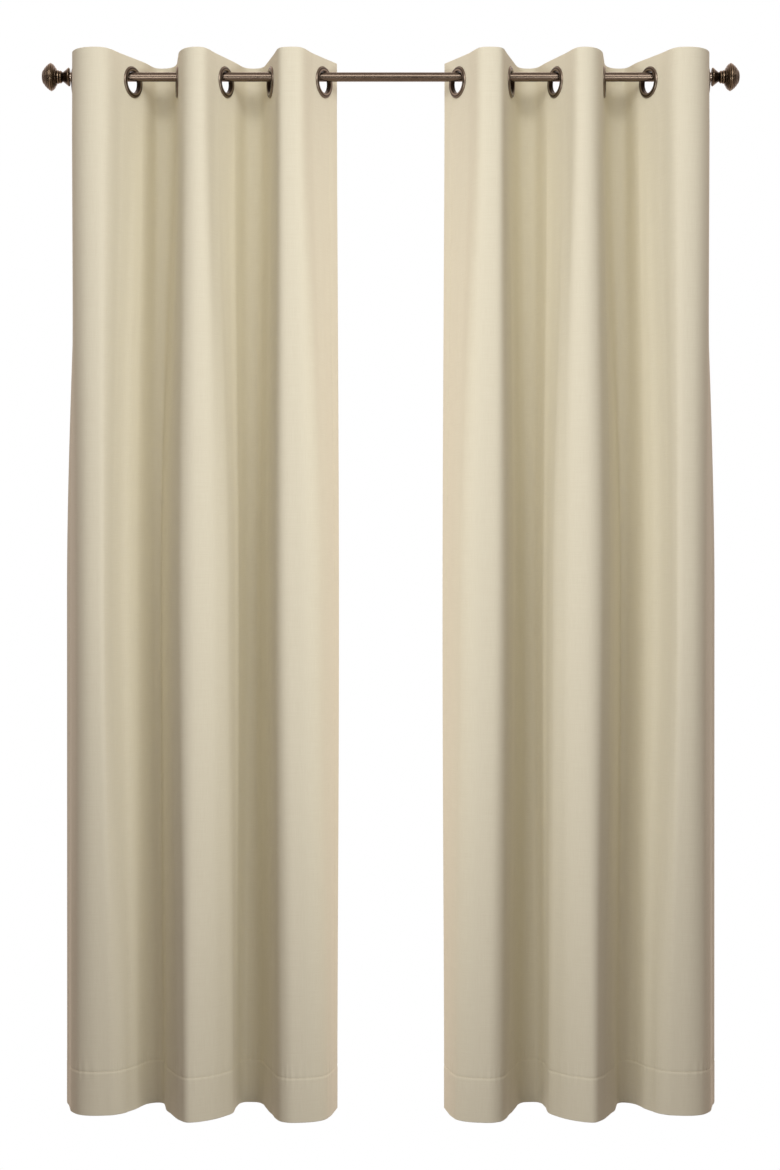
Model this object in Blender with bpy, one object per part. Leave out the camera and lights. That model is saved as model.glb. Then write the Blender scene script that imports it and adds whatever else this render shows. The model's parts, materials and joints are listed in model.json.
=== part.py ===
"""A pair of eyelet curtains on a wall-mounted rod. Metres, +Z up, the room in front at -Y.

The wall plane is y = 0 and the rod's axis is at z = 0, midway between the brackets at x = 0.
Each curtain is a row of pleats. A pleat is the strip of cloth from one fold line to the next,
with one eyelet in its middle, and it turns on its fold lines as the curtain is drawn.
"""
import math

import bmesh
import bpy
from mathutils import Vector

# ---- driving dimensions ----
WALL_TO_ROD = 0.100            # wall face to the rod's axis
ROD_DIAMETER = 0.016
ROD_WALL = 0.0012
FIT = 0.0003                   # gap between two pieces that touch

CLOTH_DROP = 1.829             # finished length of a curtain
CLOTH_THICKNESS = 0.0024       # face cloth and lining together
HEADING_ABOVE_ROD = 0.0325     # top edge of the cloth above the rod's axis
LEADING_GAP = 0.2348           # between the two innermost eyelets
EYELET_PITCHES = (0.099, 0.080, 0.0816, 0.080, 0.090)   # outermost to innermost, along the rod
FOLD_DEPTH = 0.150             # from the front of a fold to its back
SIDE_FLAP = 0.045              # last eyelet's centre to the cloth's side edge
FOLD_SLIT = 0.002              # between neighbouring pleats along a fold line
# How far each pleat leans off the straight front-to-back line at its eyelet, in degrees,
# counted positive where the pleat gains ground towards the middle of the window.
HEADING_LEANS = (1.0, 28.0, 8.0, 24.0, 14.0, 29.0)
SKIRT_LEANS = (16.0, 30.0, 18.0, 12.0, 18.0, 10.0)
# How far the middle of each pleat drifts towards the middle of the window below the heading.
SKIRT_DRIFTS = (-0.002, -0.017, -0.021, 0.014, -0.007, 0.016)
HEADING_END = 0.05             # below the rod, where the cloth starts to leave the heading's shape
SKIRT_START = 0.60             # below the rod, where the skirt's lean and drift are reached
LEAN_PULL = 0.62               # how long a pleat keeps its lean before it curves, as a share of its depth
HEADING_SQUARENESS = 0.62      # how square the cloth turns over at a fold, from 0 to 1
SKIRT_FRONT_SQUARENESS = 0.84
SKIRT_BACK_SQUARENESS = 0.52
SKIRT_FLAT_SHARE = 0.3         # what is left in the skirt of the flat stretch round an eyelet

EYELET_THROAT = 0.0366         # free diameter through an eyelet
EYELET_RIM = 0.0090            # width of the visible ring
EYELET_CROWN = 0.0028          # how far the ring stands off the cloth
EYELET_BARREL_WALL = 0.0011
MOUTH_FLARE = 0.0030           # rounding from the barrel out to the crown
RIM_ROUND = 0.0024             # rounding from the crown out to the rim
EYELET_RIDE = 0.0010           # play between the rod's top and the eyelet that hangs on it
EYELET_MARGIN = 0.0017         # flat cloth left round the ring
ROLLED_SHARE = 0.8             # how much of the crown's height the rolled barrel and washer reach

MOST_OPENED = 14.0             # degrees that a pleat turns when the curtain is pushed aside
MOST_CLOSED = 6.7              # and the other way, when the two curtains meet

FINIAL_RADIUS = 0.0240
FINIAL_CAP_RADIUS = 0.0128
FINIAL_BEAD_RADIUS = 0.0115
FINIAL_NECK_RADIUS = 0.0082
FINIAL_COLLAR_RADIUS = 0.0160
FINIAL_SEAT_RADIUS = 0.0110
FINIAL_LENGTH = 0.0488
FINIAL_BEAD_STEP = 0.0015      # from the bead out to the shoulder's foot
FINIAL_RIB = 0.0006
FINIAL_RIBS = 3
FINIAL_CONE_POWER = 0.65       # under 1 the cone between shoulder and cap is full
FINIAL_ROOM = 0.0031           # between the knob's seat and the swung outermost eyelet
# Heights of the knob's features above its seat, as shares of its length.
COLLAR_RIM, NECK, BEAD, SHOULDER, WIDEST, CAP = 0.05, 0.26, 0.385, 0.43, 0.70, 0.914
STUD_RADIUS = 0.0030
STUD_LENGTH = 0.0280
PLUG_LENGTH = 0.0180

PLATE_WIDTH = 0.034
PLATE_HEIGHT = 0.070
PLATE_THICKNESS = 0.004
PLATE_SCREW_SPACING = 0.048
ARM_RADIUS = 0.0055
ARM_FOOT_RADIUS = 0.0090
ARM_FOOT_THICKNESS = 0.0030
ARM_BELOW_ROD = 0.0040
CRADLE_WALL = 0.0027
CRADLE_WIDTH = 0.0120
BRACKET_ROOM = 0.0090          # between the swung side flap and the bracket's arm
BOSS_RADIUS = 0.0045
BOSS_HEIGHT = 0.0060
CLAMP_SCREW_RADIUS = 0.0020
CLAMP_HEAD_RADIUS = 0.0055
CLAMP_HEAD_HEIGHT = 0.0050
ARM_SCREW_RADIUS = 0.0025
ARM_SCREW_HEAD_RADIUS = 0.0048
ARM_SCREW_LENGTH = 0.0180
WALL_SCREW_RADIUS = 0.0021
WALL_SCREW_HEAD_RADIUS = 0.0042
WALL_SCREW_HEAD_HEIGHT = 0.0026
WALL_SCREW_LENGTH = 0.0320
WALL_SCREW_ROOM = 0.0005       # round the screw in the plate's hole
WALL_SCREW_DOME = 0.7          # where the head's crown starts to fall, as a share of its radius

# ---- how finely the round and folded shapes are cut ----
ROUND_STEPS = 24
RING_STEPS = 20
SMALL_STEPS = 16
PLATE_END_STEPS = 10
CRADLE_STEPS = 12
FOLD_STEPS = 5
SKIRT_ROWS = (0.20, 0.60)      # below the rod, where the cloth's section is set again

# ---- sizes that follow ----
ROD_RADIUS = ROD_DIAMETER / 2
ROD_BORE_RADIUS = ROD_RADIUS - ROD_WALL
THROAT_RADIUS = EYELET_THROAT / 2
RING_RADIUS = THROAT_RADIUS + EYELET_RIM
BARREL_RADIUS = THROAT_RADIUS + EYELET_BARREL_WALL
CLOTH_HALF = CLOTH_THICKNESS / 2
RING_HALF_HEIGHT = CLOTH_HALF + FIT + EYELET_CROWN
EYELET_Z = -(THROAT_RADIUS - ROD_RADIUS - EYELET_RIDE)
FLAT_HALF = RING_RADIUS + EYELET_MARGIN
FOLD_HALF = FOLD_DEPTH / 2
CLOTH_TOP = HEADING_ABOVE_ROD
CLOTH_BOTTOM = CLOTH_TOP - CLOTH_DROP
ROD_Y = -WALL_TO_ROD
PLEATS = len(HEADING_LEANS)
OUTER_EYELET = LEADING_GAP / 2 + sum(EYELET_PITCHES)
CLOSED_LEAN = math.radians(MOST_CLOSED + HEADING_LEANS[0])
OPENED_LEAN = math.radians(MOST_OPENED - HEADING_LEANS[0])
ROD_END = (OUTER_EYELET + RING_HALF_HEIGHT / math.cos(CLOSED_LEAN)
           + FINIAL_SEAT_RADIUS * math.tan(CLOSED_LEAN) + FINIAL_ROOM)
BRACKET_X = (OUTER_EYELET - SIDE_FLAP * math.sin(OPENED_LEAN) - CLOTH_HALF
             - CRADLE_WIDTH / 2 - BRACKET_ROOM)

# Each finish is a base colour, a roughness and a metallic value.
DARK_BRONZE = (0.060, 0.042, 0.026, 1.0)
TUBE_FINISH = (DARK_BRONZE, 0.32, 0.9)
KNOB_FINISH = (DARK_BRONZE, 0.35, 0.85)
BRACKET_FINISH = (DARK_BRONZE, 0.40, 0.9)
EYELET_FINISH = ((0.105, 0.080, 0.055, 1.0), 0.42, 0.9)
STEEL_FINISH = ((0.42, 0.41, 0.39, 1.0), 0.4, 1.0)
CLOTH_FINISH = ((0.66, 0.60, 0.46, 1.0), 0.85, 0.0)
SIDES = (("left", -1), ("right", 1))


def ease(amount):
    """Smooth step from 0 to 1."""
    held = min(max(amount, 0.0), 1.0)
    return held * held * (3 - 2 * held)


def finish(obj, look):
    """Give a piece its own Principled material."""
    colour, roughness, metallic = look
    material = bpy.data.materials.new(obj.name)
    material.use_nodes = True
    shader = material.node_tree.nodes["Principled BSDF"]
    shader.inputs["Base Color"].default_value = colour
    shader.inputs["Roughness"].default_value = roughness
    shader.inputs["Metallic"].default_value = metallic
    obj.data.materials.clear()
    obj.data.materials.append(material)


def add_object(name, mesh, location, parent=None):
    """Put a mesh in the scene at a world place, under an optional parent that isn't turned."""
    obj = bpy.data.objects.new(name, mesh)
    bpy.context.scene.collection.objects.link(obj)
    place_under(obj, location, parent)
    return obj


def place_under(obj, location, parent):
    """Set a world place through an unturned parent."""
    base = Vector((0, 0, 0))
    if parent:
        obj.parent = parent
        above = parent
        while above:
            base += above.location
            above = above.parent
    obj.location = Vector(location) - base


def add_empty(name, location, parent=None):
    """A hinge line or a group: it carries pieces and isn't one itself."""
    empty = bpy.data.objects.new(name, None)
    empty.empty_display_size = 0.02
    bpy.context.scene.collection.objects.link(empty)
    place_under(empty, location, parent)
    return empty


def smooth(mesh):
    """Shade a round mesh smooth, with its edges kept sharp."""
    mesh.shade_smooth()
    mesh.set_sharp_from_angle(angle=math.radians(35))


def turned_mesh(name, outline, steps, closed=False):
    """Spin an outline of (radius, height) about local Z; a closed outline makes a ring."""
    bm = bmesh.new()
    points = [bm.verts.new((radius, 0, height)) for radius, height in outline]
    edges = [bm.edges.new(pair) for pair in zip(points, points[1:])]
    if closed:
        edges.append(bm.edges.new((points[-1], points[0])))
    bmesh.ops.spin(bm, geom=points + edges, cent=(0, 0, 0), axis=(0, 0, 1),
                   angle=2 * math.pi, steps=steps, use_merge=True)
    bmesh.ops.remove_doubles(bm, verts=bm.verts, dist=1e-6)
    bmesh.ops.recalc_face_normals(bm, faces=bm.faces)
    mesh = bpy.data.meshes.new(name)
    bm.to_mesh(mesh)
    bm.free()
    smooth(mesh)
    return mesh


def extruded_mesh(name, outline, height):
    """Fill an outline in the local XY plane and extrude it along local Z."""
    bm = bmesh.new()
    face = bm.faces.new([bm.verts.new((x, y, 0)) for x, y in outline])
    grown = bmesh.ops.extrude_face_region(bm, geom=[face])
    bmesh.ops.translate(bm, vec=(0, 0, height),
                        verts=[v for v in grown["geom"] if isinstance(v, bmesh.types.BMVert)])
    bmesh.ops.recalc_face_normals(bm, faces=bm.faces)
    mesh = bpy.data.meshes.new(name)
    bm.to_mesh(mesh)
    bm.free()
    smooth(mesh)
    return mesh


def rod_outline(radius, height):
    """Half outline of a plain round bar from local z = 0 to its height."""
    return [(0, 0), (radius, 0), (radius, height), (0, height)]


def combine(obj, tool, operation):
    """Cut or join a piece with a hidden tool solid."""
    tool.hide_render = True
    tool.display_type = "WIRE"
    change = obj.modifiers.new(tool.name, "BOOLEAN")
    change.operation = operation
    change.solver = "EXACT"
    change.object = tool


# ---- the rod and what closes its ends ----

def build_rod():
    """A straight tube from one finial's seat to the other's."""
    outline = [(ROD_BORE_RADIUS, -ROD_END), (ROD_RADIUS, -ROD_END),
               (ROD_RADIUS, ROD_END), (ROD_BORE_RADIUS, ROD_END)]
    mesh = turned_mesh("rod_tube", outline, ROUND_STEPS, closed=True)
    tube = add_object("rod_tube", mesh, (0, ROD_Y, 0))
    tube.rotation_euler = (0, math.pi / 2, 0)
    finish(tube, TUBE_FINISH)


def finial_outline():
    """Half outline of the knob, from its seat (height 0) out to its tip, with a blind stud hole."""
    rim_height, neck_height, bead_height, shoulder_height, widest_height, cap_height = (
        share * FINIAL_LENGTH for share in (COLLAR_RIM, NECK, BEAD, SHOULDER, WIDEST, CAP))
    hole_radius = STUD_RADIUS + FIT
    hole_depth = STUD_LENGTH / 2 + 2 * FIT
    points = [(0, hole_depth), (hole_radius, hole_depth), (hole_radius, 0), (FINIAL_SEAT_RADIUS, 0)]
    collar_growth = FINIAL_COLLAR_RADIUS - FINIAL_SEAT_RADIUS
    for turn in (0.4, 0.8):
        points.append((FINIAL_SEAT_RADIUS + collar_growth * math.sin(turn * math.pi / 2),
                       rim_height * (1 - math.cos(turn * math.pi / 2))))
    points.append((FINIAL_COLLAR_RADIUS, rim_height))
    for share in (0.25, 0.5, 0.75, 1.0):
        points.append((FINIAL_COLLAR_RADIUS
                       + (FINIAL_NECK_RADIUS - FINIAL_COLLAR_RADIUS) * math.sin(share * math.pi / 2),
                       rim_height + (neck_height - rim_height) * share))
    for share in (0.5, 1.0):
        points.append((FINIAL_NECK_RADIUS + (FINIAL_BEAD_RADIUS - FINIAL_NECK_RADIUS) * ease(share),
                       neck_height + (bead_height - neck_height) * share))
    shoulder_foot = FINIAL_BEAD_RADIUS + FINIAL_BEAD_STEP
    points.append((shoulder_foot, shoulder_height))
    for share in (0.25, 0.5, 0.75, 1.0):
        points.append((shoulder_foot + (FINIAL_RADIUS - shoulder_foot) * math.sin(share * math.pi / 2),
                       shoulder_height + (widest_height - shoulder_height) * share))
    for step in range(1, 4 * FINIAL_RIBS + 1):
        share = step / (4 * FINIAL_RIBS)
        cone = FINIAL_CAP_RADIUS + (FINIAL_RADIUS - FINIAL_CAP_RADIUS) * (1 - share) ** FINIAL_CONE_POWER
        rib = -FINIAL_RIB * (1 - math.cos(2 * math.pi * FINIAL_RIBS * share)) / 2
        points.append((cone + rib, widest_height + (cap_height - widest_height) * share))
    for turn in (0.3, 0.6, 0.85):
        points.append((FINIAL_CAP_RADIUS * math.cos(turn * math.pi / 2),
                       cap_height + (FINIAL_LENGTH - cap_height) * math.sin(turn * math.pi / 2)))
    points.append((0, FINIAL_LENGTH))
    return points


def build_rod_end(side, sign):
    """Threaded plug inside the tube, stud, and turned knob."""
    outward = (0, sign * math.pi / 2, 0)
    plug_radius = ROD_BORE_RADIUS - FIT
    plug_bore = STUD_RADIUS + FIT
    plug_mesh = turned_mesh("rod_end_plug", [(plug_bore, -PLUG_LENGTH), (plug_radius, -PLUG_LENGTH),
                                             (plug_radius, 0), (plug_bore, 0)], ROUND_STEPS, closed=True)
    plug = add_object("rod_end_plug_" + side, plug_mesh, (sign * (ROD_END - FIT), ROD_Y, 0))
    plug.rotation_euler = outward
    finish(plug, STEEL_FINISH)

    seat_x = ROD_END + FIT
    stud_mesh = turned_mesh("finial_stud", rod_outline(STUD_RADIUS, STUD_LENGTH), SMALL_STEPS)
    stud = add_object("finial_stud_" + side, stud_mesh,
                      (sign * (seat_x - STUD_LENGTH / 2), ROD_Y, 0))
    stud.rotation_euler = outward
    finish(stud, STEEL_FINISH)

    knob = add_object("finial_" + side, turned_mesh("finial", finial_outline(), ROUND_STEPS),
                      (sign * seat_x, ROD_Y, 0))
    knob.rotation_euler = outward
    finish(knob, KNOB_FINISH)


# ---- the brackets ----

def stadium(width, height, steps):
    """Upright outline with half-round ends."""
    radius = width / 2
    straight = height / 2 - radius
    points = []
    for end, start in ((1, 0), (-1, math.pi)):
        for step in range(steps + 1):
            angle = start + math.pi * step / steps
            points.append((radius * math.cos(angle), end * straight + radius * math.sin(angle)))
    return points


def build_plate(side, sign):
    """Wall plate with two wall screw holes and a countersunk hole for the arm's screw."""
    mesh = extruded_mesh("wall_plate", stadium(PLATE_WIDTH, PLATE_HEIGHT, PLATE_END_STEPS), PLATE_THICKNESS)
    plate = add_object("wall_plate_" + side, mesh, (sign * BRACKET_X, 0, -ARM_BELOW_ROD))
    plate.rotation_euler = (math.pi / 2, 0, 0)
    through = 3 * PLATE_THICKNESS
    drill_outline = rod_outline(WALL_SCREW_RADIUS + WALL_SCREW_ROOM, through)
    for place in (1, -1):
        drill = add_object("plate_drill", turned_mesh("plate_drill", drill_outline, SMALL_STEPS),
                           (sign * BRACKET_X, PLATE_THICKNESS,
                            -ARM_BELOW_ROD + place * PLATE_SCREW_SPACING / 2))
        drill.rotation_euler = (math.pi / 2, 0, 0)
        combine(plate, drill, "DIFFERENCE")
    head = ARM_SCREW_HEAD_RADIUS + FIT
    neck = ARM_SCREW_RADIUS + FIT
    sink_outline = [(0, -PLATE_THICKNESS), (head, -PLATE_THICKNESS), (head, FIT),
                    (neck, head - neck + FIT), (neck, through), (0, through)]
    sink = add_object("plate_sink", turned_mesh("plate_sink", sink_outline, SMALL_STEPS),
                      (sign * BRACKET_X, 0, -ARM_BELOW_ROD))
    sink.rotation_euler = (math.pi / 2, 0, 0)
    combine(plate, sink, "DIFFERENCE")
    finish(plate, BRACKET_FINISH)


def cradle_outline():
    """U-shaped section that the rod drops into, in the plane across the rod."""
    inner = ROD_RADIUS + FIT
    outer = inner + CRADLE_WALL
    lower = [math.pi + math.pi * step / CRADLE_STEPS for step in range(CRADLE_STEPS + 1)]
    points = [(outer * math.cos(angle), outer * math.sin(angle)) for angle in lower]
    points += [(inner * math.cos(angle), inner * math.sin(angle)) for angle in reversed(lower)]
    return points


def build_arm(side, sign):
    """Cradle, boss for the clamp screw, bar and foot in one casting."""
    centre_x = sign * BRACKET_X
    arm = add_object("bracket_arm_" + side, extruded_mesh("bracket_arm", cradle_outline(), CRADLE_WIDTH),
                     (centre_x - CRADLE_WIDTH / 2, ROD_Y, 0))
    arm.rotation_euler = (math.pi / 2, 0, math.pi / 2)

    foot_y = -(PLATE_THICKNESS + FIT)
    cradle_outer = ROD_RADIUS + FIT + CRADLE_WALL
    bar_length = WALL_TO_ROD - cradle_outer + CRADLE_WALL / 2 + foot_y
    screw_hole = ARM_SCREW_RADIUS + FIT
    hole_depth = ARM_SCREW_LENGTH - PLATE_THICKNESS + 2 * FIT
    bar_outline = [(0, hole_depth), (screw_hole, hole_depth), (screw_hole, 0),
                   (ARM_FOOT_RADIUS, 0), (ARM_FOOT_RADIUS, ARM_FOOT_THICKNESS),
                   (ARM_RADIUS, ARM_FOOT_THICKNESS), (ARM_RADIUS, bar_length), (0, bar_length)]
    bar = add_object("arm_bar", turned_mesh("arm_bar", bar_outline, ROUND_STEPS),
                     (centre_x, foot_y, -ARM_BELOW_ROD))
    bar.rotation_euler = (math.pi / 2, 0, 0)
    combine(arm, bar, "UNION")

    boss_outline = rod_outline(BOSS_RADIUS, BOSS_HEIGHT + CRADLE_WALL / 2)
    boss_mesh = turned_mesh("arm_boss", boss_outline, SMALL_STEPS)
    boss = add_object("arm_boss", boss_mesh,
                      (centre_x, ROD_Y, -cradle_outer - BOSS_HEIGHT))
    combine(arm, boss, "UNION")

    drill_length = 2 * (BOSS_HEIGHT + CRADLE_WALL)
    drill_outline = rod_outline(CLAMP_SCREW_RADIUS + FIT, drill_length)
    clamp_drill = add_object("clamp_drill", turned_mesh("clamp_drill", drill_outline, SMALL_STEPS),
                             (centre_x, ROD_Y, -ROD_RADIUS + CRADLE_WALL - drill_length))
    combine(arm, clamp_drill, "DIFFERENCE")
    finish(arm, BRACKET_FINISH)


def build_bracket_screws(side, sign):
    """Clamp screw under the rod, arm screw from behind the plate, two wall screws."""
    centre_x = sign * BRACKET_X
    clamp_tip = -ROD_RADIUS - FIT
    head_top = clamp_tip - FIT - CRADLE_WALL - BOSS_HEIGHT
    clamp_outline = [(0, head_top - FIT - CLAMP_HEAD_HEIGHT),
                     (CLAMP_HEAD_RADIUS, head_top - FIT - CLAMP_HEAD_HEIGHT),
                     (CLAMP_HEAD_RADIUS, head_top - FIT), (CLAMP_SCREW_RADIUS, head_top - FIT),
                     (CLAMP_SCREW_RADIUS, clamp_tip), (0, clamp_tip)]
    clamp = add_object("rod_clamp_screw_" + side, turned_mesh("rod_clamp_screw", clamp_outline, SMALL_STEPS),
                       (centre_x, ROD_Y, 0))
    finish(clamp, BRACKET_FINISH)

    cone = ARM_SCREW_HEAD_RADIUS - ARM_SCREW_RADIUS
    arm_screw_outline = [(0, 0), (ARM_SCREW_HEAD_RADIUS, 0), (ARM_SCREW_RADIUS, cone),
                         (ARM_SCREW_RADIUS, ARM_SCREW_LENGTH - FIT), (0, ARM_SCREW_LENGTH - FIT)]
    arm_screw = add_object("bracket_arm_screw_" + side,
                           turned_mesh("bracket_arm_screw", arm_screw_outline, SMALL_STEPS),
                           (centre_x, -2 * FIT, -ARM_BELOW_ROD))
    arm_screw.rotation_euler = (math.pi / 2, 0, 0)
    finish(arm_screw, STEEL_FINISH)

    wall_outline = [(0, -WALL_SCREW_HEAD_HEIGHT),
                    (WALL_SCREW_DOME * WALL_SCREW_HEAD_RADIUS, -0.8 * WALL_SCREW_HEAD_HEIGHT),
                    (WALL_SCREW_HEAD_RADIUS, -0.3 * WALL_SCREW_HEAD_HEIGHT), (WALL_SCREW_HEAD_RADIUS, 0),
                    (WALL_SCREW_RADIUS, 0), (WALL_SCREW_RADIUS, 0.8 * WALL_SCREW_LENGTH),
                    (0, WALL_SCREW_LENGTH)]
    wall_mesh = turned_mesh("wall_screw", wall_outline, SMALL_STEPS)
    for word, place in (("upper", 1), ("lower", -1)):
        screw = add_object("wall_screw_%s_%s" % (side, word), wall_mesh,
                           (centre_x, -PLATE_THICKNESS - FIT,
                            -ARM_BELOW_ROD + place * PLATE_SCREW_SPACING / 2))
        screw.rotation_euler = (-math.pi / 2, 0, 0)
        finish(screw, BRACKET_FINISH)


# ---- the curtains ----

def half_fold(lean, advance, flat, squareness):
    """From a pleat's middle to its fold line: a straight stretch, then one smooth curve.

    The advance is the ground to gain before the fold line.

    Points are (ground gained along the rod, depth). The curve leaves along the lean and
    arrives square to the depth, where the cloth turns over at the fold line.
    """
    along = (math.sin(lean), math.cos(lean))
    start = (flat * along[0], flat * along[1])
    end = (advance - FOLD_SLIT / 2, FOLD_HALF)
    pull_out = LEAN_PULL * (FOLD_HALF - start[1])
    pull_in = squareness * (end[0] - start[0])
    first = (start[0] + pull_out * along[0], start[1] + pull_out * along[1])
    second = (end[0] - pull_in, end[1])
    points = []
    for step in range(FOLD_STEPS + 1):
        t = step / FOLD_STEPS
        weights = ((1 - t) ** 3, 3 * (1 - t) ** 2 * t, 3 * (1 - t) * t ** 2, t ** 3)
        corners = (start, first, second, end)
        points.append(tuple(sum(w * c[axis] for w, c in zip(weights, corners)) for axis in (0, 1)))
    return points


def pleat_section(index, below_rod):
    """A pleat's section at a height, as (ground gained, y) from the pleat's eyelet.

    The outermost pleat runs from back to front and the next one from front to back.
    """
    skirt = ease((below_rod - HEADING_END) / (SKIRT_START - HEADING_END))
    lean = math.radians(HEADING_LEANS[index] * (1 - skirt) + SKIRT_LEANS[index] * skirt)
    drift = SKIRT_DRIFTS[index] * skirt
    flat = FLAT_HALF * (1 + (SKIRT_FLAT_SHARE - 1) * skirt)
    front = HEADING_SQUARENESS + (SKIRT_FRONT_SQUARENESS - HEADING_SQUARENESS) * skirt
    back = HEADING_SQUARENESS + (SKIRT_BACK_SQUARENESS - HEADING_SQUARENESS) * skirt
    forwards = index % 2 == 0
    flap = [(SIDE_FLAP * math.sin(lean), SIDE_FLAP * math.cos(lean))]
    straight = (flat * math.sin(lean), flat * math.cos(lean))
    if index < PLEATS - 1:
        ahead = half_fold(lean, EYELET_PITCHES[index] / 2 - drift, flat, front if forwards else back)
    else:
        ahead = [straight] + flap
    if index > 0:
        behind = half_fold(lean, EYELET_PITCHES[index - 1] / 2 + drift, flat, back if forwards else front)
    else:
        behind = [straight] + flap
    section = [(-x, -y) for x, y in reversed(behind)] + ahead
    towards_room = -1 if forwards else 1
    return [(x + drift, y * towards_room) for x, y in section]


def eyelet_distance(index):
    """How far an eyelet's centre is from the middle of the window, along the rod."""
    return OUTER_EYELET - sum(EYELET_PITCHES[:index])


def fold_line(index):
    """Distance from the middle and y of the fold line between a pleat and the next one."""
    towards_room = -1 if index % 2 == 0 else 1
    return eyelet_distance(index) - EYELET_PITCHES[index] / 2, ROD_Y + towards_room * FOLD_HALF


def eyelet_turn(index, sign):
    """Turn about Z that points an eyelet's front along the cloth's front face."""
    lean = math.radians(HEADING_LEANS[index])
    depth = -math.cos(lean) if index % 2 == 0 else math.cos(lean)
    ground = math.sin(lean)
    return math.atan2(-sign * depth, ground)


def build_pleat(side, sign, index, hinge, hinge_place):
    """One strip of cloth: a folded sheet given its thickness, with a hole for the eyelet."""
    drops = [-CLOTH_TOP, HEADING_END] + list(SKIRT_ROWS) + [-CLOTH_BOTTOM]
    centre = eyelet_distance(index)
    bm = bmesh.new()
    rows = []
    for below_rod in drops:
        row = []
        for gained, y in pleat_section(index, below_rod):
            world = Vector((sign * (centre - gained), ROD_Y + y, -below_rod))
            row.append(bm.verts.new(world - hinge_place))
        rows.append(row)
    for upper, lower in zip(rows, rows[1:]):
        for place in range(len(upper) - 1):
            bm.faces.new((upper[place], lower[place], lower[place + 1], upper[place + 1]))
    name = "%s_pleat_%d" % (side, index + 1)
    mesh = bpy.data.meshes.new(name)
    bm.to_mesh(mesh)
    bm.free()
    mesh.shade_smooth()
    pleat = add_object(name, mesh, hinge_place, hinge)
    body = pleat.modifiers.new("thickness", "SOLIDIFY")
    body.thickness = CLOTH_THICKNESS
    body.offset = 0
    hole_length = 4 * RING_HALF_HEIGHT
    punch_mesh = turned_mesh("eyelet_punch", [(0, -hole_length / 2), (BARREL_RADIUS + FIT, -hole_length / 2),
                                              (BARREL_RADIUS + FIT, hole_length / 2), (0, hole_length / 2)],
                             RING_STEPS)
    punch = add_object("eyelet_punch", punch_mesh, (sign * centre, ROD_Y, EYELET_Z))
    punch.rotation_euler = (math.pi / 2, 0, eyelet_turn(index, sign))
    combine(pleat, punch, "DIFFERENCE")
    finish(pleat, CLOTH_FINISH)


def front_ring_outline():
    """Closed outline of the front half: rounded rim, flared mouth and the barrel behind it."""
    face = CLOTH_HALF + FIT
    crown = face + EYELET_CROWN
    mouth = THROAT_RADIUS + MOUTH_FLARE
    barrel_end = -(CLOTH_HALF + FIT + ROLLED_SHARE * EYELET_CROWN)
    return [(THROAT_RADIUS, barrel_end), (BARREL_RADIUS, barrel_end), (BARREL_RADIUS, face),
            (RING_RADIUS, face), (RING_RADIUS - RIM_ROUND, crown), (mouth, crown),
            (THROAT_RADIUS, face)]


def back_ring_outline():
    """Closed outline of the washer that is pressed over the barrel behind the cloth."""
    face = -(CLOTH_HALF + FIT)
    crown = face - EYELET_CROWN
    bore = BARREL_RADIUS + FIT
    return [(bore, face), (bore, face - ROLLED_SHARE * EYELET_CROWN), (bore + RIM_ROUND / 2, crown),
            (RING_RADIUS - RIM_ROUND, crown), (RING_RADIUS, face)]


def build_eyelet(side, sign, index, hinge, front_mesh, back_mesh):
    """The two pressed metal rings that line the hole."""
    place = (sign * eyelet_distance(index), ROD_Y, EYELET_Z)
    for word, mesh in (("front", front_mesh), ("back", back_mesh)):
        ring = add_object("%s_eyelet_%s_%d" % (side, word, index + 1), mesh.copy(), place, hinge)
        ring.rotation_euler = (math.pi / 2, 0, eyelet_turn(index, sign))
        finish(ring, EYELET_FINISH)


def build_curtain(side, sign):
    """A chain of pleats. The outermost turns on the rod's end, each next one on a fold line."""
    front_mesh = turned_mesh("eyelet_front", front_ring_outline(), RING_STEPS, closed=True)
    back_mesh = turned_mesh("eyelet_back", back_ring_outline(), RING_STEPS, closed=True)
    hinge = None
    for index in range(PLEATS):
        if index == 0:
            place = Vector((sign * OUTER_EYELET, ROD_Y, 0))
        else:
            distance, depth = fold_line(index - 1)
            place = Vector((sign * distance, depth, 0))
        hinge = add_empty("%s_fold_%d" % (side, index), place, hinge)
        build_pleat(side, sign, index, hinge, place)
        build_eyelet(side, sign, index, hinge, front_mesh, back_mesh)


for old in list(bpy.data.objects):
    bpy.data.objects.remove(old, do_unlink=True)

build_rod()
for side_name, side_sign in SIDES:
    build_rod_end(side_name, side_sign)
    build_plate(side_name, side_sign)
    build_arm(side_name, side_sign)
    build_bracket_screws(side_name, side_sign)
    build_curtain(side_name, side_sign)
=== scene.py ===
"""Looks of a pair of lined eyelet curtains on a wall-mounted rod. Metres, +Z up, the room at -Y.

The cloth is one flat panel for each side, six eyelets wide. Its shape is a function of two cloth
coordinates: across, from the side edge to the leading edge, and down, from the top edge.
"""
import json
import math

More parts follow.
